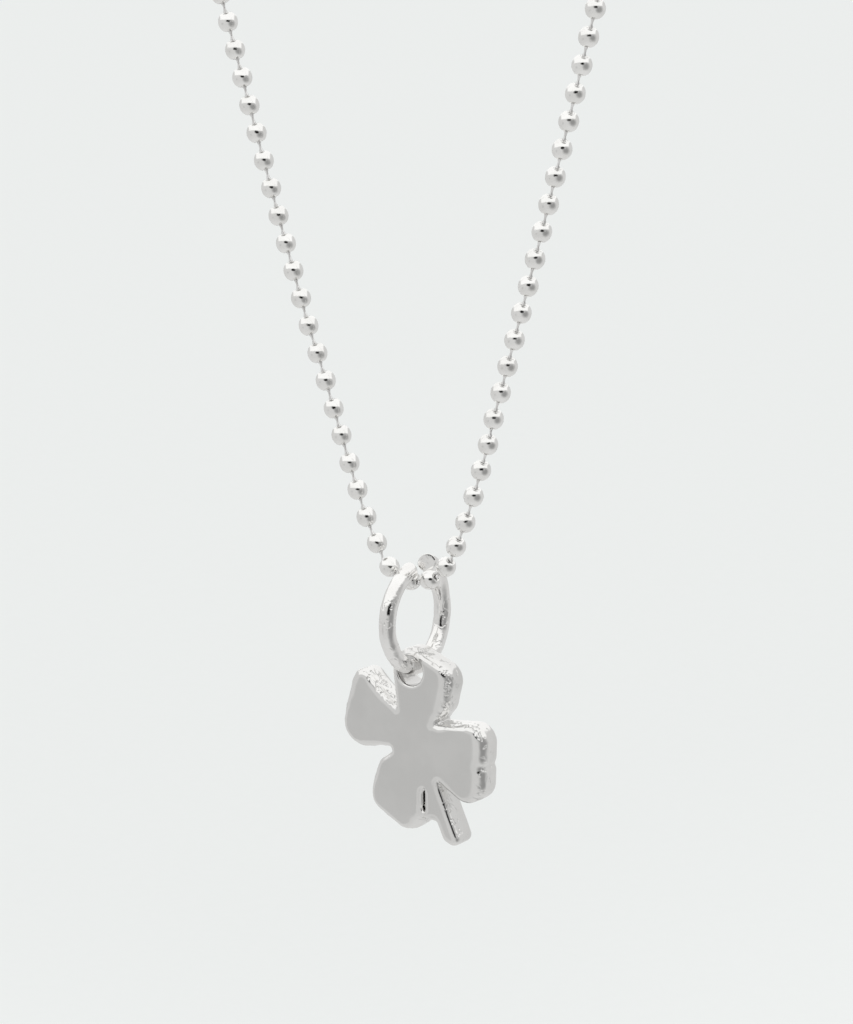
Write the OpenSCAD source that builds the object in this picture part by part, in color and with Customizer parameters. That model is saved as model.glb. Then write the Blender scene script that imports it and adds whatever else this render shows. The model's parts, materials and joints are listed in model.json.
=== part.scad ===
// Four leaf clover pendant on its ball chain, at real size in millimetres.
// The loop hangs in the XZ plane, and the clover's face looks towards -Y.
// The origin is the top of the loop, on the middle line of the chain.

/* [Chain] */
// Length of the whole loop along its middle line
chain_len = 450; // [400:10:600]
// Diameter of a bead
bead_d = 1.5; // [1.3:0.05:1.7]
// Space between two neighbouring beads
bead_gap = 0.56; // [0.45:0.01:0.7]
// Diameter of the wire that the beads sit on
wire_d = 0.25; // [0.2:0.01:0.35]
// Clearance round the wire in every bore
bore_gap = 0.1; // [0.1:0.01:0.15]
// Radius of the chain's bend under the ring
bend_r = 3.4; // [3.2:0.1:5]
// Angle that this bend turns on each side
bend_turn = 63; // [50:1:66]
// Radius of the softer bend above it
ease_r = 30; // [10:1:40]
// Lean of a strand from the vertical, just above the bends
low_lean = 18.3; // [17:0.1:20]
// Lean of a strand from the vertical, where it runs straight
high_lean = 15.9; // [13:0.1:16.5]
// Radius of the slight curve between these two leans
strand_r = 760; // [400:10:900]

/* [Clasp] */
// Length of the barrel clasp
clasp_len = 8; // [6:0.5:12]
// Diameter of the barrel clasp
clasp_d = 2.4; // [2:0.1:3]
// Radius of the clasp's end edges
clasp_round = 0.4; // [0.2:0.05:0.6]
// Depth of the socket in each end of the clasp
socket_depth = 1.6; // [1:0.1:2.4]

/* [Jump ring] */
// Diameter of the ring to the middle of its wire
ring_d = 7.2; // [6.4:0.1:8]
// Diameter of the ring's wire
ring_wire_d = 1.26; // [1:0.02:1.4]
// Width of the cut where the ring's ends meet
ring_cut = 0.08; // [0.05:0.01:0.2]
// Space between the ring and the two beads that it hangs between
ring_gap = 0.1; // [0.08:0.01:0.2]
// Distance along the chain from the middle of the loop to the ring
ring_shift = 0.3; // [-0.5:0.05:0.5]

/* [Clover] */
// Reach of the clover from its middle, that its leaves are drawn to
clover_reach = 6; // [5.5:0.1:8]
// Thickness of the clover
clover_thick = 2.3; // [1.8:0.1:2.6]
// Radius of the clover's rounded edges
edge_r = 0.4; // [0.25:0.05:0.5]
// Turn of the whole clover at which it hangs in balance
hang_turn = 1; // [-4:0.1:4]

/* [Stem] */
// Length from the middle of the clover to the stem's end
stem_len = 8.05; // [7:0.1:10]
// Width of the stem
stem_w = 1.35; // [1.3:0.05:2]
// How much longer the stem is at its right corner than at its left
stem_slant = 0.3; // [0:0.05:0.6]
// Radius of the corners at the stem's end
stem_round = 0.55; // [0.3:0.05:0.6]

/* [Hole for the ring] */
// Least space between the ring's wire and the hole
hole_gap = 0.105; // [0.1:0.005:0.3]
// Distance that the hole's middle hangs below the wire's middle
hole_drop = 0.18; // [0:0.01:0.2]
// Distance that the hole's middle lies to the left of the wire's middle
hole_side = 0.12; // [0:0.01:0.15]
// Bevel round the hole
hole_bevel = 0.08; // [0.05:0.01:0.09]
// Width of the metal between the hole and the leaf's edge
hole_rim = 0.5; // [0.45:0.05:0.8]

/* [Hidden] */

// How finely round faces are drawn
face_fn = 32;
outline_fn = 28;
edge_steps = 3;
wire_fn = 6;

pitch = bead_d + bead_gap;
bore_r = wire_d / 2 + bore_gap;
// Distance from a bead's middle to the mouth of its bore
bore_half = sqrt(pow(bead_d / 2, 2) - pow(bore_r, 2));

// The loop holds a whole number of steps from bead to bead
steps = 2 * round(chain_len / pitch / 2);
half_len = steps * pitch / 2;

// A leg is a stretch of the loop that turns evenly, from the lowest point upwards
LEG_LEN = 0;
LEG_TURN = 1;
function arc_len(radius, turn) = radius * turn * PI / 180;
ease_turn = 90 - low_lean - bend_turn;
low_legs = [
    // length, turn
    [arc_len(bend_r, bend_turn), bend_turn],
    [arc_len(ease_r, ease_turn), ease_turn],
    [arc_len(strand_r, low_lean - high_lean), low_lean - high_lean]
];

// End of a leg that starts at a point with a heading
function leg_end(start, heading, length, turn) =
    turn == 0
        ? start + length * [cos(heading), sin(heading)]
        : start + length / (turn * PI / 180)
            * [sin(heading + turn) - sin(heading), cos(heading) - cos(heading + turn)];

// Point and heading after a length along the legs
function walk(legs, length, leg = 0, start = [0, 0], heading = 0) =
    let (full = legs[leg][LEG_LEN], turn = legs[leg][LEG_TURN])
    length <= full || leg == len(legs) - 1
        ? [leg_end(start, heading, length, turn * length / full), heading + turn * length / full]
        : walk(legs, length - full, leg + 1, leg_end(start, heading, full, turn), heading + turn);

function sum(values, i = 0) = i == len(values) ? 0 : values[i] + sum(values, i + 1);
low_len = sum([for (row = low_legs) row[LEG_LEN]]);
low_x = walk(low_legs, low_len)[0][0];

// One round arc closes the loop at the top, at the radius that its length asks for
top_turn = 90 + high_lean;
top_r = (low_x + (half_len - low_len) * sin(high_lean))
    / (cos(high_lean) + top_turn * PI / 180 * sin(high_lean));
straight_len = half_len - low_len - arc_len(top_r, top_turn);
half_legs = concat(low_legs, [[straight_len, 0], [arc_len(top_r, top_turn), top_turn]]);
loop_h = walk(half_legs, half_len)[0][1];

// A mark is a length along the loop from its lowest point, negative on the left
function wrapped(mark) = mark > half_len ? mark - 2 * half_len : mark;
function side_of(mark) = mark < 0 ? -1 : 1;
function loop_place(mark) =
    let (at = walk(half_legs, abs(mark))[0])
    [side_of(mark) * at[0], 0, at[1] - loop_h];
function loop_turn(mark) = side_of(mark) * walk(half_legs, abs(mark))[1];
function heading_of(turn) = [cos(turn), 0, sin(turn)];

// The clasp sits on the loop opposite the ring, and the beads stop short of it
clasp_mark = half_len + ring_shift;
clasp_ends = [
    loop_place(clasp_mark - clasp_len / 2),
    loop_place(wrapped(clasp_mark + clasp_len / 2))
];
clasp_turns = [
    loop_turn(clasp_mark - clasp_len / 2),
    loop_turn(wrapped(clasp_mark + clasp_len / 2))
];
clasp_mid = (clasp_ends[0] + clasp_ends[1]) / 2;
clasp_axis = (clasp_ends[1] - clasp_ends[0]) / norm(clasp_ends[1] - clasp_ends[0]);
clasp_tilt = atan2(clasp_axis[2], clasp_axis[0]);
bare_steps = ceil((clasp_len + bead_gap + bead_d) / 2 / pitch - 0.5);
bead_marks = [
    for (i = [bare_steps - steps / 2 : steps / 2 - bare_steps - 1])
        ring_shift + (i + 0.5) * pitch
];

// The ring's wire hangs over the valley between the two lowest beads
valley = loop_place(ring_shift);
seat_bead = loop_place(ring_shift + pitch / 2);
ring_rise = seat_bead[2] - valley[2]
    + sqrt(pow((bead_d + ring_wire_d) / 2 + ring_gap, 2) - pow(seat_bead[0] - valley[0], 2));
ring_r = ring_d / 2;
ring_mid = valley + [0, 0, ring_rise - ring_r];
// Middle of the ring's wire at its lowest point, where the clover hangs
clover_pivot = ring_mid - [0, 0, ring_r];

// The wire bends up inside the hole, so the hole has room for that too
wire_rise = ring_r - sqrt(pow(ring_r, 2) - pow(clover_thick / 2 - hole_bevel, 2));
hole_d = ring_wire_d + 2 * (wire_rise + norm([hole_drop, hole_side]) + hole_gap);

// Circles of the clover, whose places and radii are shares of clover_reach
OUT = 0;
LEFT = 1;
RADIUS = 2;
// A leaf is drawn round its waist, its belly and the two ends of its tip, and has a notch in the tip
LEAF_TURN = 0;
WAIST = 1;
BELLY = 2;
TIP_LEFT = 3;
TIP_RIGHT = 4;
NOTCH = 5;
eye = [0.88, 0.125, (hole_d / 2 + hole_rim) / clover_reach];
leaves = [
    // direction, waist [out, left, radius], belly if it has one, left of tip, right of tip, notch
    [84, [0.403, -0.01, 0.3], [0.575, -0.175, 0.25], eye, [0.8, -0.213, 0.238], [1.21, -0.05, 0.1]],
    [155, [0.27, 0, 0.225], [0, 0, 0], [0.725, 0.222, 0.273], [0.905, -0.19, 0.187], [0, 0, 0]],
    [248, [0.282, 0.015, 0.233], [0.53, -0.085, 0.237], [0.872, 0.243, 0.235], [0.785, -0.084, 0.275], [1.175, 0.105, 0.08]],
    [351, [0.304, 0, 0.308], [0, 0, 0], [0.757, 0.19, 0.245], [0.813, -0.286, 0.25], [1.098, -0.03, 0.08]]
];
hub = [0, 0, 0.36];
stem_dir = 295;
stem_root = [0.2, 0.02, 0.12];

// A bead, drilled for the wire
module bead() {
    rotate([0, 90, 0])
        rotate_extrude($fn = face_fn)
            intersection() {
                circle(d = bead_d, $fn = face_fn);
                translate([bore_r, -bead_d])
                    square([bead_d, 2 * bead_d]);
            }
}

module ball_chain() {
    color("gainsboro")
        for (mark = bead_marks)
            translate(loop_place(mark))
                rotate([0, -loop_turn(mark), 0])
                    bead();
}

// One ring of the wire's skin, square to the wire
function skin_ring(middle, turn) = [
    for (i = [0 : wire_fn - 1])
        let (angle = 360 * i / wire_fn)
        middle + wire_d / 2 * [-sin(turn) * cos(angle), sin(angle), cos(turn) * cos(angle)]
];

// The wire is straight in each bead and bends in the gaps, and ends in the clasp
module chain_wire() {
    grip = socket_depth - bore_gap;
    rings = concat(
        [skin_ring(clasp_ends[1] - grip * clasp_axis, clasp_turns[1])],
        [skin_ring(clasp_ends[1], clasp_turns[1])],
        [
            for (mark = bead_marks)
                for (side = [-1, 1])
                    let (turn = loop_turn(mark))
                    skin_ring(loop_place(mark) + side * bore_half * heading_of(turn), turn)
        ],
        [skin_ring(clasp_ends[0], clasp_turns[0])],
        [skin_ring(clasp_ends[0] + grip * clasp_axis, clasp_turns[0])]
    );
    last = len(rings) - 1;
    sides = [
        for (k = [0 : last - 1])
            for (i = [0 : wire_fn - 1])
                let (j = (i + 1) % wire_fn)
                [k * wire_fn + i, k * wire_fn + j, (k + 1) * wire_fn + j, (k + 1) * wire_fn + i]
    ];
    start_cap = [for (i = [wire_fn - 1 : -1 : 0]) i];
    end_cap = [for (i = [0 : wire_fn - 1]) last * wire_fn + i];
    color("silver")
        polyhedron([for (ring = rings) each ring], concat(sides, [start_cap, end_cap]));
}

// Half of the clasp's outline, with a rounded outer edge
module clasp_half_2d() {
    half = clasp_len / 2;
    wall = clasp_d / 2;
    difference() {
        union() {
            square([wall, half - clasp_round]);
            square([wall - clasp_round, half]);
            translate([wall - clasp_round, half - clasp_round])
                intersection() {
                    circle(clasp_round, $fn = face_fn);
                    square(clasp_round);
                }
        }
        translate([0, half - socket_depth])
            square([bore_r, 2 * socket_depth]);
    }
}

module clasp() {
    color("lightgray")
        translate(clasp_mid)
            rotate([0, 90 - clasp_tilt, 0])
                rotate_extrude($fn = face_fn)
                    union() {
                        clasp_half_2d();
                        mirror([0, 1])
                            clasp_half_2d();
                    }
}

module jump_ring() {
    cut_angle = 360 * ring_cut / (PI * ring_d);
    color("lightgray")
        translate(ring_mid)
            rotate([0, -90, 0])
                rotate([0, 0, cut_angle / 2])
                    rotate_extrude(angle = 360 - cut_angle, $fn = 2 * face_fn)
                        translate([ring_r, 0])
                            circle(d = ring_wire_d, $fn = face_fn);
}

function share_place(part) = [part[OUT], part[LEFT]] * clover_reach;

module share_circle(part) {
    translate(share_place(part))
        circle(part[RADIUS] * clover_reach, $fn = outline_fn);
}

module leaf_2d(row) {
    rotate(row[LEAF_TURN])
        hull() {
            share_circle(row[WAIST]);
            share_circle(row[BELLY]);
            share_circle(row[TIP_LEFT]);
            share_circle(row[TIP_RIGHT]);
        }
}

module stem_2d() {
    rotate(stem_dir)
        hull() {
            share_circle(stem_root);
            for (side = [-1, 1])
                translate([
                    stem_len + side * stem_slant / 2 - stem_round,
                    side * (stem_w / 2 - stem_round)
                ])
                    circle(stem_round, $fn = outline_fn);
        }
}

// A convex outline as thick as the clover, with rounded edges
module rounded() {
    hull()
        for (step = [0 : edge_steps])
            let (turn = 90 * step / edge_steps)
            linear_extrude(clover_thick - 2 * edge_r * (1 - cos(turn)), center = true)
                offset(delta = edge_r * (sin(turn) - 1))
                    children();
}

// The hole, bevelled at both faces
module hole() {
    cylinder(h = 2 * clover_thick, d = hole_d, center = true, $fn = 2 * face_fn);
    for (turn = [0, 180])
        rotate([turn, 0, 0])
            translate([0, 0, clover_thick / 2 - hole_bevel])
                cylinder(h = 2 * hole_bevel, d1 = hole_d, d2 = hole_d + 4 * hole_bevel, $fn = 2 * face_fn);
}

// The hole lies at the middle of the drawing, and the clover's face looks to +Z
module clover_flat() {
    leaf_turn = leaves[0][LEAF_TURN];
    difference() {
        rotate(leaf_turn)
            translate(-share_place(eye))
                rotate(-leaf_turn)
                    difference() {
                        union() {
                            rounded() share_circle(hub);
                            for (row = leaves)
                                rounded() leaf_2d(row);
                            rounded() stem_2d();
                        }
                        for (row = leaves)
                            if (row[NOTCH][RADIUS] > 0)
                                rotate(row[LEAF_TURN])
                                    linear_extrude(2 * clover_thick, center = true)
                                        share_circle(row[NOTCH]);
                    }
        hole();
    }
}

module clover() {
    color("silver")
        translate(clover_pivot - [hole_side, 0, hole_drop])
            rotate([90, hang_turn, 0])
                clover_flat();
}

ball_chain();
chain_wire();
clasp();
jump_ring();
clover();
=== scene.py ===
import json
import math
import random

import bmesh
import bpy
import numpy as np
from mathutils import Matrix, Vector, kdtree, noise


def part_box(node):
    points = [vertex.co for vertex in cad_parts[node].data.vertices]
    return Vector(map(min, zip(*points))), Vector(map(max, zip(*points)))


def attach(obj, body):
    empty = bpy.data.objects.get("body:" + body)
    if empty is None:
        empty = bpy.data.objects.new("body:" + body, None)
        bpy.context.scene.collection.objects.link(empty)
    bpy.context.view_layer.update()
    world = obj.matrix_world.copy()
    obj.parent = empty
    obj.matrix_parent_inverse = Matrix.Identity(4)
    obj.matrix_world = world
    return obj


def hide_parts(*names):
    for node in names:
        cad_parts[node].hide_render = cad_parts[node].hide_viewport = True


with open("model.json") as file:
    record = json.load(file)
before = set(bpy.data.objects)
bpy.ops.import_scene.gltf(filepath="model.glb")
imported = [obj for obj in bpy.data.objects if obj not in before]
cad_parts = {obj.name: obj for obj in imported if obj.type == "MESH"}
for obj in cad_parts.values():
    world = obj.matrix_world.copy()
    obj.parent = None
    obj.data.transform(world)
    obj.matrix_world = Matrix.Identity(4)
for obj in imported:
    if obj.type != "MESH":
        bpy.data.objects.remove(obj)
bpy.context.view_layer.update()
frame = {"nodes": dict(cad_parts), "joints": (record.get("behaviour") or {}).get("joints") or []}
mm = 0.001
print("frame loaded:", len(frame["nodes"]), "nodes")


# camera, where the photograph was taken from
cameraSet = {
    "turn": 33.85,  # degrees to the right of the clover's face
    "rise": 13.2,  # degrees above it
    "roll": -1.15,
    "distance": 330 * mm,
    "aim": (1.2 * mm, 0, -185.95 * mm),
    "lens": 161.2,  # focal length, mm
    "clipStart": 10 * mm,
}


def lookAxes(turn, rise, roll=0):
    turn = math.radians(turn)
    rise = math.radians(rise)
    roll = math.radians(roll)
    back = Vector((math.sin(turn) * math.cos(rise), -math.cos(turn) * math.cos(rise), math.sin(rise)))
    level = Vector((math.cos(turn), math.sin(turn), 0))
    upright = back.cross(level)
    right = math.cos(roll) * level + math.sin(roll) * upright
    up = math.cos(roll) * upright - math.sin(roll) * level
    return right, up, back


def addCamera():
    right, up, back = lookAxes(cameraSet["turn"], cameraSet["rise"], cameraSet["roll"])
    view = bpy.data.cameras.new("camera")
    view.lens = cameraSet["lens"]
    view.clip_start = cameraSet["clipStart"]
    camera = bpy.data.objects.new("camera", view)
    camera.matrix_world = Matrix((right, up, back)).transposed().to_4x4()
    camera.location = Vector(cameraSet["aim"]) + back * cameraSet["distance"]
    bpy.context.scene.collection.objects.link(camera)
    bpy.context.scene.camera = camera
    print("camera:", cameraSet["turn"], "degrees to the right,", cameraSet["rise"], "above")


# helpers for node trees and meshes
weldGap = 0.0005 * mm  # vertices of a CAD node closer than this are one


def addNode(tree, kind, inputs=None, **settings):
    node = tree.nodes.new(kind)
    for name, value in settings.items():
        setattr(node, name, value)
    for key, value in (inputs or {}).items():
        if isinstance(value, bpy.types.NodeSocket):
            tree.links.new(value, node.inputs[key])
        else:
            node.inputs[key].default_value = value
    return node


def calc(tree, operation, first, second=0.0, third=0.0):
    node = addNode(tree, "ShaderNodeMath", {0: first, 1: second, 2: third}, operation=operation)
    return node.outputs[0]


def addNoise(tree, place, scale, detail, curl=0.0):
    ends = {"Vector": place, "Scale": scale, "Detail": detail, "Distortion": curl}
    return addNode(tree, "ShaderNodeTexNoise", ends).outputs[0]


def smoothRange(tree, value, fromLow, fromHigh, toLow=0.0, toHigh=1.0):
    ends = {"Value": value, "From Min": fromLow, "From Max": fromHigh, "To Min": toLow, "To Max": toHigh}
    return addNode(tree, "ShaderNodeMapRange", ends, interpolation_type="SMOOTHSTEP").outputs["Result"]


def finishPiece(bm, name, smooth=True):
    mesh = bpy.data.meshes.new(name)
    bm.to_mesh(mesh)
    bm.free()
    mesh.polygons.foreach_set("use_smooth", [smooth] * len(mesh.polygons))
    piece = bpy.data.objects.new(name, mesh)
    bpy.context.scene.collection.objects.link(piece)
    return piece


def addRounding(piece):
    rounding = piece.modifiers.new("rounding", "SUBSURF")
    rounding.levels = 1
    rounding.render_levels = 1


def mergedCopy(node):
    bm = bmesh.new()
    bm.from_mesh(frame["nodes"][node].data)
    bmesh.ops.remove_doubles(bm, verts=bm.verts, dist=weldGap)
    return bm


# the studio: a pale floor and soft light from above
studioSet = {
    "floorDrop": 90 * mm,  # from the clover's lowest point down to the floor
    "floorSize": 12.0,
    "floorColour": (0.885, 0.905, 0.895),
    "grainScale": 700.0,  # per metre
    "grainDetail": 3.0,
    "grainDull": 0.985,  # share of its light that the floor keeps in the dips of its grain
    "skyColour": (0.835, 0.853, 0.844),
    "fill": 0.95,  # brightness of the soft light that falls on the floor
    "mirrored": 0.66,  # brightness of the room that the silver mirrors
    "mirroredColour": (1, 1, 0.99),
    "paintedLightPool": 0.055,  # painted light: how much lighter the floor's colour gets, to the right of a corner and in front of it
    "paintedPoolCorner": (-139 * mm, 185 * mm),
    "paintedPoolBend": 40 * mm,  # how round this corner is
    "paintedPoolSpan": (-20 * mm, 120 * mm),  # distance from the corner's sides, over which the painted light on the floor grows
}
# what a mirror ball under the camera would show of the room, in shares of the ball's radius
studioPanels = [
    # across, up, half width, half height, softness, brightness, shape
    (-0.75, -0.25, 0.35, 0.4, 0.7, 0.67, "round"),  # dim far side of the room
    (0.0, -0.85, 0.9, 0.35, 0.6, 0.72, "round"),  # table below
    (0.36, -0.17, 0.3, 0.28, 0.55, 0.31, "round"),  # grey panel beside the camera
    (0.28, 0.0, 0.07, 0.05, 0.7, 0.48, "round"),  # gap in it
    (-0.02, 0.13, 0.22, 0.06, 0.7, 0.6, "round"),  # its top edge
    (0.02, 0.04, 0.2, 0.105, 0.4, 0.0, "round"),  # camera
    (-0.56, -0.19, 0.08, 0.08, 0.8, 0.555, "round"),  # dim spot that the clover's face mirrors
    (-0.05, 0.69, 0.68, 0.53, 0.08, 1.03, "square"),  # big soft box overhead
]


def addFloor():
    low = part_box("clover")[0].z - studioSet["floorDrop"]
    bm = bmesh.new()
    bmesh.ops.create_grid(bm, x_segments=1, y_segments=1, size=studioSet["floorSize"] / 2)
    bmesh.ops.translate(bm, verts=bm.verts, vec=(0, 0, low))
    floor = finishPiece(bm, "floor", smooth=False)
    floor.visible_glossy = False
    floor.data.materials.append(paperMaterial())
    print("floor:", round(-low / mm), "mm below the top of the chain")


def paperMaterial():
    material = bpy.data.materials.new("palePaper")
    material.use_nodes = True
    tree = material.node_tree
    shader = tree.nodes["Principled BSDF"]
    shader.inputs["Roughness"].default_value = 1
    shader.inputs["Specular IOR Level"].default_value = 0
    place = addNode(tree, "ShaderNodeTexCoord").outputs["Object"]
    grain = addNoise(tree, place, studioSet["grainScale"], studioSet["grainDetail"])
    pale = [*studioSet["floorColour"], 1]
    dull = [studioSet["grainDull"] * part for part in studioSet["floorColour"]] + [1]
    tint = addNode(tree, "ShaderNodeMix", {0: grain, 6: dull, 7: pale}, data_type="RGBA")
    # painted light: a pool of light in the floor's colour, lighter to the right of a corner and in front of
    # it
    spot = addNode(tree, "ShaderNodeSeparateXYZ", {0: place}).outputs
    cornerX, cornerY = studioSet["paintedPoolCorner"]
    sideways = calc(tree, "SUBTRACT", spot["X"], cornerX)
    forwards = calc(tree, "SUBTRACT", cornerY, spot["Y"])
    inside = calc(tree, "SMOOTH_MAX", sideways, forwards, studioSet["paintedPoolBend"])
    paintedLightPool = smoothRange(tree, inside, *studioSet["paintedPoolSpan"], 1.0, 1 + studioSet["paintedLightPool"])
    lit = addNode(tree, "ShaderNodeVectorMath", {0: tint.outputs[2], "Scale": paintedLightPool}, operation="SCALE")
    tree.links.new(lit.outputs[0], shader.inputs["Base Color"])
    return material


def addStudioLight():
    world = bpy.data.worlds.new("studio")
    bpy.context.scene.world = world
    world.use_nodes = True
    tree = world.node_tree
    tree.nodes.clear()
    right, up, back = lookAxes(cameraSet["turn"], cameraSet["rise"])
    ray = addNode(tree, "ShaderNodeTexCoord").outputs["Generated"]
    halfWay = addNode(tree, "ShaderNodeVectorMath", {0: ray, 1: back}, operation="ADD").outputs[0]
    ball = addNode(tree, "ShaderNodeVectorMath", {0: halfWay}, operation="NORMALIZE").outputs[0]
    across, above = [
        addNode(tree, "ShaderNodeVectorMath", {0: ball, 1: way}, operation="DOT_PRODUCT").outputs["Value"]
        for way in (right, up)
    ]
    light = studioSet["mirrored"]
    for middleAcross, middleUp, halfWidth, halfHeight, softness, brightness, shape in studioPanels:
        sideways = calc(tree, "DIVIDE", calc(tree, "SUBTRACT", across, middleAcross), halfWidth)
        upwards = calc(tree, "DIVIDE", calc(tree, "SUBTRACT", above, middleUp), halfHeight)
        if shape == "round":
            upSquare = calc(tree, "MULTIPLY", upwards, upwards)
            edge = calc(tree, "SQRT", calc(tree, "MULTIPLY_ADD", sideways, sideways, upSquare))
        else:
            edge = calc(tree, "MAXIMUM", calc(tree, "ABSOLUTE", sideways), calc(tree, "ABSOLUTE", upwards))
        inside = smoothRange(tree, edge, 1 + softness, 1 - softness)
        light = addNode(tree, "ShaderNodeMix", {0: inside, 2: light, 3: brightness}).outputs[0]
    mirroredColour = [*studioSet["mirroredColour"], 1]
    rays = addNode(tree, "ShaderNodeLightPath").outputs
    mirrored = addNode(tree, "ShaderNodeBackground", {"Color": mirroredColour, "Strength": light}).outputs[0]
    fill = {"Color": (1, 1, 1, 1), "Strength": studioSet["fill"]}
    soft = addNode(tree, "ShaderNodeBackground", fill).outputs[0]
    seen = addNode(tree, "ShaderNodeBackground", {"Color": [*studioSet["skyColour"], 1]}).outputs[0]
    plain = addNode(tree, "ShaderNodeMixShader", {0: rays["Is Camera Ray"], 1: soft, 2: seen}).outputs[0]
    both = addNode(tree, "ShaderNodeMixShader", {0: rays["Is Glossy Ray"], 1: plain, 2: mirrored}).outputs[0]
    addNode(tree, "ShaderNodeOutputWorld", {"Surface": both})
    bpy.context.scene.view_settings.view_transform = "Standard"
    print("light:", len(studioPanels), "panels in the room that the silver mirrors")


# silver finishes: what they all share
silverSet = {
    "cloudDetail": 4.0,  # clouds of a duller and rougher tone
    "wearFrom": (0.35, 0.65),  # of the clouds' value, from dull to bright
    "roughFrom": (0.3, 0.7),
    "roughEnds": (1.35, 0.75),  # times the finish's roughness
    "rippleDetail": 3.0,
    "creaseDetail": 1.5,
    "creaseCurl": 1.2,
    "patchScale": 1.3,  # times the scale of the creases, which show in patches
    "patchFrom": (0.52, 0.62),  # of the patches' value, from plain to creased
}


def silverMaterial(name, finish):
    material = bpy.data.materials.new(name)
    material.use_nodes = True
    tree = material.node_tree
    shader = tree.nodes["Principled BSDF"]
    shader.inputs["Metallic"].default_value = 1
    place = addNode(tree, "ShaderNodeTexCoord").outputs["Object"]
    inMm = addNode(tree, "ShaderNodeMapping", {"Vector": place, "Scale": (1 / mm, 1 / mm, 1 / mm)}).outputs[0]
    cloud = addNoise(tree, inMm, finish["cloudScale"], silverSet["cloudDetail"])
    bright = [*finish["colour"], 1]
    dull = [*finish["dull"], 1]
    wear = smoothRange(tree, cloud, *silverSet["wearFrom"])
    tint = addNode(tree, "ShaderNodeMix", {0: wear, 6: dull, 7: bright}, data_type="RGBA").outputs[2]
    # painted shade: mixes the colour towards a darker one, as much as the vertex value says
    if "paintedShadeColour" in finish:
        paintedShade = addNode(tree, "ShaderNodeAttribute", attribute_name="paintedShade").outputs["Fac"]
        paintedShadeColour = [*finish["paintedShadeColour"], 1]
        tint = addNode(tree, "ShaderNodeMix", {0: paintedShade, 6: tint, 7: paintedShadeColour}, data_type="RGBA").outputs[2]
    tree.links.new(tint, shader.inputs["Base Color"])
    roughEnds = [finish["roughness"] * share for share in silverSet["roughEnds"]]
    rough = smoothRange(tree, cloud, *silverSet["roughFrom"], *roughEnds)
    tree.links.new(rough, shader.inputs["Roughness"])
    ripple = addNoise(tree, inMm, finish["rippleScale"], silverSet["rippleDetail"])
    bump = addBump(tree, ripple, finish["rippleDepth"])
    if "creaseDepth" in finish:
        bump = addCreases(tree, inMm, bump, finish)
    tree.links.new(bump.outputs[0], shader.inputs["Normal"])
    return material


def addCreases(tree, inMm, smoothBump, finish):
    # thin curling folds, as deep as the vertex value "hammered" says
    curls = addNoise(tree, inMm, finish["creaseScale"], silverSet["creaseDetail"], silverSet["creaseCurl"])
    off = calc(tree, "ABSOLUTE", calc(tree, "SUBTRACT", curls, 0.5))
    patches = addNoise(tree, inMm, finish["creaseScale"] * silverSet["patchScale"], 0.0)
    here = smoothRange(tree, patches, *silverSet["patchFrom"])
    fold = calc(tree, "MULTIPLY", smoothRange(tree, off, finish["creaseWidth"], 0.0), here)
    hammered = addNode(tree, "ShaderNodeAttribute", attribute_name="hammered").outputs["Fac"]
    depth = calc(tree, "MULTIPLY", calc(tree, "MULTIPLY", fold, hammered), -1.0)
    return addBump(tree, depth, finish["creaseDepth"], smoothBump)


def addBump(tree, height, depth, under=None):
    bump = addNode(tree, "ShaderNodeBump", {"Strength": 1, "Height": height, "Distance": depth * mm})
    if under:
        tree.links.new(under.outputs[0], bump.inputs["Normal"])
    return bump


def setShares(mesh, name, shares):
    # one value for each vertex, that the material reads by its name
    mesh.attributes.new(name, "FLOAT", "POINT").data.foreach_set("value", shares)


# the ball chain: drilled beads on a fine wire
beadSet = {
    "spokes": 10,  # of each bead's mesh, before it is smoothed
    "rows": 6,
    "swell": 1.075,  # makes up for what smoothing takes off
    "boreRadius": 0.15 * mm,
    "weldGap": 0.001 * mm,
    "spinSeed": 4,  # for how far each bead is turned on the wire
    # how far the lowest beads sit to the right and up from the even row, in mm,
    # counted from the lowest one to the left (-) and to the right
    "settled": {
        -9: (0.11, 0), -8: (0.16, 0), -7: (0.18, -0.04), -6: (0.18, 0), -5: (0.19, -0.04),
        -4: (0.2, 0), -3: (0.26, 0), -2: (0.33, 0.04), -1: (0.37, 0.16), 0: (0.42, 0.38),
        1: (0.06, 0.45), 2: (-0.07, 0.27), 3: (-0.07, 0.04),
        5: (0.09, 0.04), 6: (0.12, 0.06), 7: (0.12, 0.05),
    },
    "finish": {
        "colour": (0.95, 0.945, 0.935),
        "dull": (0.9, 0.895, 0.88),
        "roughness": 0.1,
        "cloudScale": 1.1,
        "rippleScale": 1.6,
        "rippleDepth": 0.03,
    },
}
wireSet = {
    "sides": 8,
    "radius": 0.085 * mm,  # in the middle of a gap
    "flare": 0.15 * mm,  # at the beads
    "grip": 0.2 * mm,  # how far each link reaches into its beads
    "narrow": (0.25, 0.6),  # share of the gap, between which a link is at its thinnest
    "finish": {
        "colour": (0.96, 0.955, 0.95),
        "dull": (0.86, 0.85, 0.84),
        "roughness": 0.34,
        "cloudScale": 2.5,
        "rippleScale": 6.0,
        "rippleDepth": 0.01,
    },
}


def looseParts(bm):
    # lowest and highest corner of each loose part
    waiting = set(bm.verts)
    parts = []
    while waiting:
        reached = [waiting.pop()]
        spots = []
        while reached:
            vert = reached.pop()
            spots.append(vert.co[:])
            for edge in vert.link_edges:
                other = edge.other_vert(vert)
                if other in waiting:
                    waiting.remove(other)
                    reached.append(other)
        spots = np.array(spots)
        parts.append((spots.min(axis=0), spots.max(axis=0)))
    return parts


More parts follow.
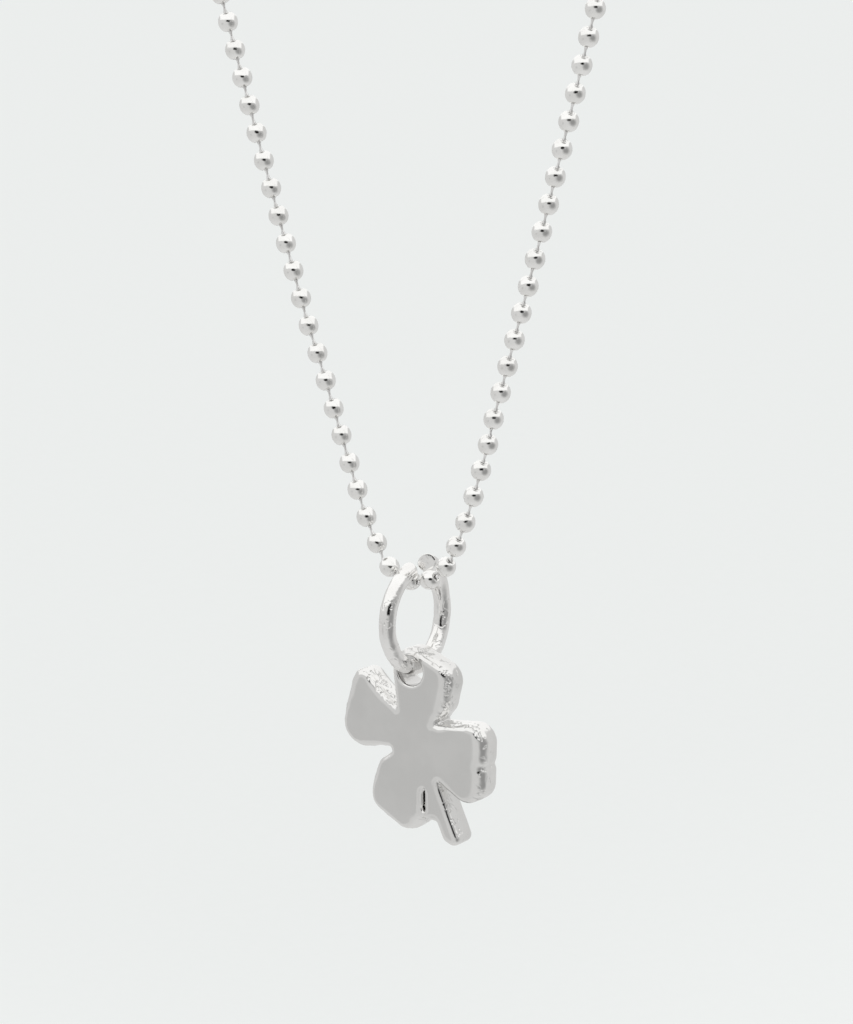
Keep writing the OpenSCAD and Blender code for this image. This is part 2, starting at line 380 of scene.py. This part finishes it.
def beadPlaces():
    # centre and direction of each bead, in order along the chain
    bm = mergedCopy("ball_chain")
    parts = looseParts(bm)
    bm.free()
    radius = max(max(high - low) for low, high in parts) / 2
    waiting = [Vector((low + high) / 2) for low, high in parts]
    claspMiddle = sum(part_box("clasp"), Vector()) / 2
    leftEnd = claspMiddle - Vector((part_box("clasp")[1].x - claspMiddle.x, 0, 0))
    centres = []
    last = leftEnd
    while waiting:
        last = min(waiting, key=lambda centre: (centre - last).length)
        waiting.remove(last)
        centres.append(last)
    lowest = min(range(len(centres)), key=lambda index: centres[index].z)
    for step, (across, up) in beadSet["settled"].items():
        centres[lowest + step] += Vector((across, 0, up)) * mm
    ends = [claspMiddle] + centres + [claspMiddle]
    directions = [(after - before).normalized() for before, after in zip(ends, ends[2:])]
    directions[0] = (centres[1] - centres[0]).normalized()
    directions[-1] = (centres[-1] - centres[-2]).normalized()
    return centres, directions, radius


def turnTowards(direction, spin=0.0):
    aim = direction.to_track_quat("Z", "Y").to_matrix().to_4x4()
    return aim @ Matrix.Rotation(spin, 4, "Z")


def makeBead(radius):
    bm = bmesh.new()
    grown = radius * beadSet["swell"]
    first = math.asin(beadSet["boreRadius"] / grown)
    profile = []
    for row in range(beadSet["rows"] + 1):
        angle = first + (math.pi - 2 * first) * row / beadSet["rows"]
        profile.append(bm.verts.new((grown * math.sin(angle), 0, grown * math.cos(angle))))
    for start, end in zip(profile, profile[1:] + profile[:1]):
        bm.edges.new((start, end))
    bmesh.ops.spin(
        bm, geom=bm.verts[:] + bm.edges[:], cent=(0, 0, 0), axis=(0, 0, 1),
        angle=2 * math.pi, steps=beadSet["spokes"], use_merge=True,
    )
    bmesh.ops.remove_doubles(bm, verts=bm.verts, dist=beadSet["weldGap"])
    bmesh.ops.recalc_face_normals(bm, faces=bm.faces)
    return bm


def makeBallChain(centres, directions, radius):
    draw = random.Random(beadSet["spinSeed"])
    bead = bpy.data.meshes.new("bead")
    shape = makeBead(radius)
    shape.to_mesh(bead)
    shape.free()
    bm = bmesh.new()
    for centre, direction in zip(centres, directions):
        known = len(bm.verts)
        bm.from_mesh(bead)
        bm.verts.ensure_lookup_table()
        place = Matrix.Translation(centre) @ turnTowards(direction, draw.uniform(0, math.pi))
        bmesh.ops.transform(bm, matrix=place, verts=bm.verts[known:])
    chain = finishPiece(bm, "ballChain")
    addRounding(chain)
    chain.data.materials.append(silverMaterial("beadSilver", beadSet["finish"]))
    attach(chain, "chain")
    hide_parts("ball_chain")
    print("ball chain:", len(centres), "beads")


def sweepTube(bm, stations, sides):
    # a capped tube through (place, direction, radius) stations
    frames = [
        Matrix.Translation(place) @ turnTowards(direction) @ Matrix.Diagonal((radius, radius, 1, 1))
        for place, direction, radius in stations
    ]
    ring = bmesh.ops.create_circle(bm, cap_ends=True, radius=1, segments=sides, matrix=frames[0])["verts"]
    edges = list(dict.fromkeys(edge for vert in ring for edge in vert.link_edges))
    for before, after in zip(frames, frames[1:]):
        grown = bmesh.ops.extrude_edge_only(bm, edges=edges)["geom"]
        ring = [part for part in grown if isinstance(part, bmesh.types.BMVert)]
        edges = [part for part in grown if isinstance(part, bmesh.types.BMEdge)
                 and all(vert in ring for vert in part.verts)]
        bmesh.ops.transform(bm, matrix=after @ before.inverted(), verts=ring)
    bmesh.ops.edgeloop_fill(bm, edges=edges)


def makeChainWire(centres, directions, radius):
    reach = math.sqrt(radius ** 2 - beadSet["boreRadius"] ** 2)
    claspLow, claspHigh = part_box("clasp")
    claspLevel = (claspLow.z + claspHigh.z) / 2
    bm = bmesh.new()
    # where each link leaves a bead or the clasp, and in which direction
    mouths = [(Vector((claspLow.x, 0, claspLevel)), Vector((-1, 0, 0)))]
    for centre, direction in zip(centres, directions):
        mouths.append((centre - direction * reach, direction))
        mouths.append((centre + direction * reach, direction))
    mouths.append((Vector((claspHigh.x, 0, claspLevel)), Vector((-1, 0, 0))))
    narrowStart, narrowEnd = wireSet["narrow"]
    for (start, startWay), (end, endWay) in zip(mouths[::2], mouths[1::2]):
        way = end - start
        stations = [
            (start - startWay * wireSet["grip"], startWay, wireSet["flare"]),
            (start, startWay, wireSet["flare"]),
            (start + way * narrowStart, way, wireSet["radius"]),
            (start + way * narrowEnd, way, wireSet["radius"]),
            (end, endWay, wireSet["flare"]),
            (end + endWay * wireSet["grip"], endWay, wireSet["flare"]),
        ]
        sweepTube(bm, stations, wireSet["sides"])
    bmesh.ops.recalc_face_normals(bm, faces=bm.faces)
    wire = finishPiece(bm, "chainWire")
    wire.data.materials.append(silverMaterial("wireSilver", wireSet["finish"]))
    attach(wire, "chain")
    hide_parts("chain_wire")
    print("chain wire:", len(mouths) // 2, "links")


# the clasp keeps its shape and gets its finish
claspSet = {
    "finish": {
        "colour": (0.94, 0.93, 0.92),
        "dull": (0.86, 0.85, 0.84),
        "roughness": 0.14,
        "cloudScale": 0.8,
        "rippleScale": 2.0,
        "rippleDepth": 0.01,
    },
}


def finishClasp():
    clasp = frame["nodes"]["clasp"]
    clasp.data.materials.clear()
    clasp.data.materials.append(silverMaterial("claspSilver", claspSet["finish"]))
    print("clasp: in its finish")


# the jump ring: bent from round wire, its two ends a little out of line at the top
ringSet = {
    "wireSides": 20,  # of its mesh, before it is smoothed
    "steps": 130,
    "sideways": -0.12 * mm,  # where it slid to between its two beads
    "rise": 0.1 * mm,  # how much its top is pulled up
    "bow": 0.17 * mm,  # how far its two sides bend to the left
    "nearEnd": 10.5,  # degrees from the top
    "farEnd": 11.0,
    "endRound": 0.05 * mm,  # of the rims of both ends
    "endTurn": 30,  # degrees that the far end turns to the right
    "endShift": (0.6 * mm, 0.5 * mm),  # of the far end, sideways and outwards
    "shiftSpan": 75,  # degrees over which the far end runs out of line
    "dents": [(0.035 * mm, 0.8 * mm), (0.014 * mm, 0.33 * mm)],  # depth, size
    "hammered": 0.45,  # share of the folds' full depth
    "plainFrom": (45, 75),  # degrees from the top, between which the folds fade in
    "finish": {
        "colour": (0.95, 0.945, 0.935),
        "dull": (0.9, 0.89, 0.88),
        "roughness": 0.08,
        "cloudScale": 0.9,
        "rippleScale": 2.4,
        "rippleDepth": 0.022,
        "creaseScale": 0.9,  # per mm
        "creaseWidth": 0.05,  # of the noise's value, to each side of its middle
        "creaseDepth": 0.06,  # mm
    },
}


def makeJumpRing():
    low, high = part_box("jump_ring")
    middle = (low + high) / 2
    wireRadius = (high.x - low.x) / 2
    ringRadius = (high.z - low.z) / 2 - wireRadius
    nearEnd = math.radians(ringSet["nearEnd"])
    farEnd = math.radians(ringSet["farEnd"])
    bm = bmesh.new()
    upright = Matrix.Translation((0, 0, ringRadius)) @ Matrix.Rotation(math.pi / 2, 4, "X")
    bmesh.ops.create_circle(bm, segments=ringSet["wireSides"], radius=wireRadius, matrix=upright)
    bmesh.ops.rotate(bm, verts=bm.verts, cent=(0, 0, 0), matrix=Matrix.Rotation(nearEnd, 3, "X"))
    bmesh.ops.spin(
        bm, geom=bm.verts[:] + bm.edges[:], cent=(0, 0, 0), axis=(1, 0, 0),
        angle=2 * math.pi - nearEnd - farEnd, steps=ringSet["steps"],
    )
    rims = [edge for edge in bm.edges if edge.is_boundary]
    bmesh.ops.holes_fill(bm, edges=rims)
    bmesh.ops.recalc_face_normals(bm, faces=bm.faces)
    bmesh.ops.bevel(
        bm, geom=rims, offset=ringSet["endRound"], segments=2,
        profile=0.5, affect="EDGES", material=-1,
    )
    bm.normal_update()
    hammered = bendRing(bm, ringRadius)
    bmesh.ops.translate(bm, verts=bm.verts, vec=middle + Vector((ringSet["sideways"], 0, 0)))
    ring = finishPiece(bm, "jumpRing")
    setShares(ring.data, "hammered", hammered)
    addRounding(ring)
    ring.data.materials.append(silverMaterial("ringSilver", ringSet["finish"]))
    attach(ring, "ring")
    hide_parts("jump_ring")
    print("jump ring: wire", round(2 * wireRadius / mm, 2), "mm")


def bendRing(bm, ringRadius):
    # dents and bends the ring about its middle, and gives how hammered each vertex is
    sideways, outwards = ringSet["endShift"]
    lean = math.sin(math.radians(ringSet["endTurn"]))
    plainEnd, fullStart = ringSet["plainFrom"]
    hammered = []
    for vert in bm.verts:
        around = math.degrees(math.atan2(vert.co.y, vert.co.z))  # 0 at the top, positive on the far side
        away = vert.co.copy()
        away.x = 0
        dent = sum(noise.noise(vert.co / size) * depth for depth, size in ringSet["dents"])
        share = min(1, max(0, (abs(around) - plainEnd) / (fullStart - plainEnd)))
        hammered.append(ringSet["hammered"] * share)
        vert.co += vert.normal * dent
        if 0 < around < ringSet["shiftSpan"]:
            share = 1 - around / ringSet["shiftSpan"]
            vert.co.y += vert.co.x * lean * share
            vert.co += share ** 2 * (Vector((sideways, 0, 0)) + away.normalized() * outwards)
        height = away.z / ringRadius
        vert.co.x -= ringSet["bow"] * max(0, 1 - height ** 2)
        vert.co.z += ringSet["rise"] * max(0, height) ** 2
    return hammered


# the clover: cast, with polished faces and hammered edges
cloverSet = {
    # all in millimetres and degrees
    "middle": (0.28, -203.02),  # where its leaves meet
    "stemWay": -66,  # from +X towards +Z
    "stemFrom": (2.8, 4.4),  # from the middle, between which the stem's own rounding and calm set in
    "stemHalf": 0.95,  # half its width
    "hole": (-0.12, -0.18, 1.11),  # its middle, from the ring's wire, and its radius
    "voxel": 0.07,  # of its skin
    "soften": 14,  # rounds of smoothing
    "edgeBand": 0.12,  # its outline is read this near to its middle plane
    "edgeOffHole": 0.15,  # and this far from the hole
    "backRound": 0.5,  # how far the back rounds down to the walls
    "frontRound": 0.17,  # the same at the front, where it is sharpest
    # where the front is rounder: the way that the wall faces there, from +X towards +Z, how far
    # to each side of it, how much rounder it is, and the lowest level
    "frontSoft": [(-10, 85, 0.73, -220), (50, 40, 0.15, -220), (140, 60, 0.55, -200.6)],
    "softFull": 0.3,  # share of that span in which it is at its roundest
    "evenOver": 0.7,  # of outline over which the rounding changes
    "pushed": [  # where its outline is moved, how far around, and by how much to the right and up
        (-4.0, -198.1, 2.2, -0.02, 0.3), (-3.4, -206.8, 1.5, 0.2, 0.02), (-2.6, -204.7, 1.3, -0.14, 0.1),
        (5.95, -204.1, 0.6, -0.2, 0),
    ],
    "webs": [  # left, right, bottom and top of the metal between leaf and stem, that leaves a slit
        (0.2, 1.07, -207.8, -205.9), (1.0, 1.45, -208.75, -208.2), (1.27, 2.3, -208.75, -205.5),
    ],
    "webThick": 1.96,  # times half the clover's thickness
    "slit": (0.8, 1.5, -208.45, -205.3),  # the same for the place around the slit
    "slitRound": (0.28, 0.1),  # at its left and its right
    "stemRound": 0.3,  # how far the stem's front rounds down
    "holeRound": 0.12,  # and both ends of the hole
    "faceGap": 0.15,  # between the rounded edges and what is made quite flat
    "faceLooks": 0.9,  # share of a spot's direction that is forwards or backwards on a face
    "waves": [(0.12, 1.5), (0.075, 0.75), (0.03, 0.36)],  # depth and size of the hammered waves
    "rightLooks": (0.1, 0.5),  # share to the right, between which a wall comes to count as the right side's
    "wallFade": (1.2, 1.0),  # how fast the waves fade from a wall to the faces, elsewhere and on the right
    "wallPower": (1.0, 0.6),  # how evenly, the same
    "holeClear": 0.2,  # around the hole, with no waves
    "rightCalm": 0.4,  # share of the waves that the right side lacks
    "stemCalm": 0.7,  # share that the stem lacks
    "waveBack": 0.4,  # share of them at the back of the walls
    "frontFrom": (0.6, -0.4),  # from the middle plane, between which the front's hammering sets in
    "hammeredSides": 0.3,  # share of the hammering on walls that don't look up
    "hammeredRise": 1.6,  # how fast it grows on walls that look up more
    "holePaintedShade": ((0.06, -0.02), (0.1, 0.35)),  # from its wall and from the faces, where the painted shade inside the hole sets in
    "crestPaintedShade": 0.35,  # painted shade: how much darker the back of the top leaf's crest is painted
    "crest": ((-1.8, -1.2), (-0.7, 0.1), (-199.6, -198.6)),  # between which that sets in, along x, y and z
    "finish": {
        "colour": (0.88, 0.875, 0.865),
        "dull": (0.84, 0.835, 0.825),
        "roughness": 0.09,
        "cloudScale": 0.35,
        "rippleScale": 1.0,
        "rippleDepth": 0.0,  # its faces are polished flat
        "creaseScale": 1.35,  # per mm
        "creaseWidth": 0.08,  # as on the ring
        "creaseDepth": 0.17,  # mm
        "paintedShadeColour": (0.62, 0.615, 0.61),  # colour of the painted shade, inside the hole and at the back of the top leaf's crest
    },
}


def remeshed(piece, voxel, soften=0):
    remesh = piece.modifiers.new("remesh", "REMESH")
    remesh.mode = "VOXEL"
    remesh.voxel_size = voxel
    if soften:
        smooth = piece.modifiers.new("soften", "SMOOTH")
        smooth.iterations = soften
    evaluated = piece.evaluated_get(bpy.context.evaluated_depsgraph_get())
    mesh = bpy.data.meshes.new_from_object(evaluated)
    piece.modifiers.clear()
    piece.data = mesh


def places(mesh):
    spots = np.empty(len(mesh.vertices) * 3)
    mesh.vertices.foreach_get("co", spots)
    return spots.reshape(-1, 3)


def setPlaces(mesh, spots):
    mesh.vertices.foreach_set("co", spots.ravel())
    mesh.update()


def normals(mesh):
    ways = np.empty(len(mesh.vertices) * 3, np.float32)
    mesh.vertex_normals.foreach_get("vector", ways)
    return ways.reshape(-1, 3).astype(float)


def searchTree(points):
    tree = kdtree.KDTree(len(points))
    for index, point in enumerate(points):
        tree.insert(point, index)
    tree.balance()
    return tree


def nearest(points, spots):
    # distance in the clover's plane from each spot to the nearest point, and which point that is
    tree = searchTree([(x, 0, z) for x, z in points])
    found = [tree.find((x, 0, z)) for x, z in spots]
    return np.array([row[2] for row in found]), np.array([row[1] for row in found])


def fromHole(spots):
    # distance from the wall of the hole
    swing = next(joint for joint in frame["joints"] if joint["name"] == "clover_swing")
    pivot = swing["pos_m"]
    across, up, radius = cloverSet["hole"]
    return np.hypot(spots[:, 0] - (pivot[0] / mm + across), spots[:, 2] - (pivot[2] / mm + up)) - radius


def between(share, start, end):
    return start + (end - start) * share


def smoothShare(values, low, high):
    share = np.clip((values - low) / (high - low), 0, 1)
    return share * share * (3 - 2 * share)


def frontRounds(edges, ways):
    # how far the front rounds down at each spot of the outline
    facing = np.degrees(np.arctan2(ways[:, 2], ways[:, 0]))
    rounds = np.full(len(edges), cloverSet["frontRound"])
    for middle, span, more, lowest in cloverSet["frontSoft"]:
        off = np.abs((facing - middle + 180) % 360 - 180)
        rounds += more * smoothShare(off, span, span * cloverSet["softFull"]) * (edges[:, 2] > lowest)
    rounds += onStem(edges) * (cloverSet["stemRound"] - rounds)
    rounds = evened(edges, rounds)
    onLeft, onRight = cloverSet["slitRound"]
    beside = atSlit(edges)
    rounds[beside] = np.where(ways[beside, 0] > 0, onLeft, onRight)
    return rounds


def atSlit(spots):
    left, right, bottom, top = cloverSet["slit"]
    return (spots[:, 0] > left) & (spots[:, 0] < right) & (spots[:, 2] > bottom) & (spots[:, 2] < top)


def onStem(spots):
    stemWay = math.radians(cloverSet["stemWay"])
    away = spots[:, [0, 2]] - cloverSet["middle"]
    along = away[:, 0] * math.cos(stemWay) + away[:, 1] * math.sin(stemWay)
    beside = np.abs(away[:, 1] * math.cos(stemWay) - away[:, 0] * math.sin(stemWay))
    return smoothShare(along, *cloverSet["stemFrom"]) * (beside < cloverSet["stemHalf"])


def evened(edges, rounds):
    # each value averaged with its neighbours' along the outline
    tree = searchTree(edges)
    reach = cloverSet["evenOver"]
    return np.array([np.mean([rounds[row[1]] for row in tree.find_range(spot, reach)]) for spot in edges])


def pushOutline(spots):
    for x, z, reach, across, up in cloverSet["pushed"]:
        away = np.hypot(spots[:, 0] - x, spots[:, 2] - z) / reach
        share = np.clip(1 - away ** 2, 0, 1) ** 2
        spots[:, 0] += share * across
        spots[:, 2] += share * up


def roundedTop(inward, rounding, half):
    # height of the surface above the middle plane, at a distance from the edge
    short = np.clip(rounding - inward, 0, rounding)
    return half - rounding + np.sqrt(rounding ** 2 - short ** 2)


def roundingAt(spots, outline, front):
    # how far each spot is from the outline, and how far the surface rounds down there
    inward, nearby = nearest(outline, spots[:, [0, 2]])
    return inward, np.where(spots[:, 1] < 0, front[nearby], cloverSet["backRound"])


def startClover():
    # the CAD node's solid and the webs as one skin, in millimetres
    bm = mergedCopy("clover")
    bmesh.ops.scale(bm, verts=bm.verts, vec=(1 / mm,) * 3)
    thick = max(vert.co.y for vert in bm.verts) * cloverSet["webThick"]
    for left, right, bottom, top in cloverSet["webs"]:
        middle = Matrix.Translation(((left + right) / 2, 0, (bottom + top) / 2))
        size = Matrix.Diagonal((right - left, thick, top - bottom, 1))
        bmesh.ops.create_cube(bm, size=1, matrix=middle @ size)
    clover = finishPiece(bm, "clover_body")
    remeshed(clover, cloverSet["voxel"])
    return clover


def roundClover(clover):
    # gives the outline, how far the front rounds down along it, and half the thickness
    spots = places(clover.data)
    pushOutline(spots)
    ways = normals(clover.data)
    half = spots[:, 1].max()
    onEdge = (np.abs(spots[:, 1]) < cloverSet["edgeBand"]) & (fromHole(spots) > cloverSet["edgeOffHole"])
    edges = spots[onEdge]
    outline = edges[:, [0, 2]]
    front = frontRounds(edges, ways[onEdge])
    inward, rounding = roundingAt(spots, outline, front)
    highest = roundedTop(inward, rounding, half)
    highest = np.minimum(highest, roundedTop(fromHole(spots), cloverSet["holeRound"], half))
    spots[:, 1] = np.sign(spots[:, 1]) * np.minimum(np.abs(spots[:, 1]), highest)
    setPlaces(clover.data, spots)
    remeshed(clover, cloverSet["voxel"], cloverSet["soften"])
    return outline, front, half


def hammerClover(clover, outline, front, half):
    # flat faces, waves on the walls, and the values that the material reads: how hammered, and the painted
    # shade
    spots = places(clover.data)
    ways = normals(clover.data)
    inward, rounding = roundingAt(spots, outline, front)
    toHole = fromHole(spots)
    toRight = smoothShare(ways[:, 0], *cloverSet["rightLooks"])
    fade = between(toRight, *cloverSet["wallFade"])
    onWall = np.clip(1 - np.abs(ways[:, 1]) * fade, 0, 1) ** between(toRight, *cloverSet["wallPower"])
    onWall[toHole < cloverSet["holeClear"]] = 0
    flat = inward > rounding + cloverSet["faceGap"]
    flat &= np.abs(ways[:, 1]) > cloverSet["faceLooks"]
    flat &= toHole > cloverSet["holeRound"] + cloverSet["faceGap"]
    spots[flat, 1] = np.sign(spots[flat, 1]) * half
    lift = np.array([
        sum(depth * noise.noise(Vector(spot) / size) for depth, size in cloverSet["waves"])
        for spot in spots
    ])
    atFront = smoothShare(spots[:, 1], *cloverSet["frontFrom"])
    calm = 1 - cloverSet["stemCalm"] * onStem(spots)
    calm[atSlit(spots)] = 0
    lookUp = np.clip(ways[:, 2] * cloverSet["hammeredRise"], 0, 1)
    hammered = onWall * between(lookUp, cloverSet["hammeredSides"], 1) * atFront * calm
    calm *= 1 - cloverSet["rightCalm"] * toRight
    spots += ways * (lift * onWall * calm * between(atFront, cloverSet["waveBack"], 1))[:, None]
    # painted shade inside the hole, fading out towards the faces
    besideHole, belowFace = cloverSet["holePaintedShade"]
    paintedShade = smoothShare(toHole, *besideHole)
    paintedShade *= smoothShare(half - np.abs(spots[:, 1]), *belowFace)
    # painted shade on the walls at the back of the top leaf's crest
    crestX, crestY, crestZ = cloverSet["crest"]
    onCrest = smoothShare(spots[:, 2], *crestZ) * smoothShare(spots[:, 0], *crestX)
    paintedShade += cloverSet["crestPaintedShade"] * onWall * onCrest * smoothShare(spots[:, 1], *crestY)
    setPlaces(clover.data, spots * mm)
    setShares(clover.data, "hammered", hammered)
    setShares(clover.data, "paintedShade", paintedShade)


def makeClover():
    clover = startClover()
    outline, front, half = roundClover(clover)
    hammerClover(clover, outline, front, half)
    clover.data.polygons.foreach_set("use_smooth", [True] * len(clover.data.polygons))
    clover.data.materials.clear()
    clover.data.materials.append(silverMaterial("cloverSilver", cloverSet["finish"]))
    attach(clover, "charm")
    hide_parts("clover")
    print("clover:", len(clover.data.polygons), "faces")


addCamera()
addStudioLight()
addFloor()
beadCentres, beadDirections, beadRadius = beadPlaces()
makeBallChain(beadCentres, beadDirections, beadRadius)
makeChainWire(beadCentres, beadDirections, beadRadius)
finishClasp()
makeJumpRing()
makeClover()
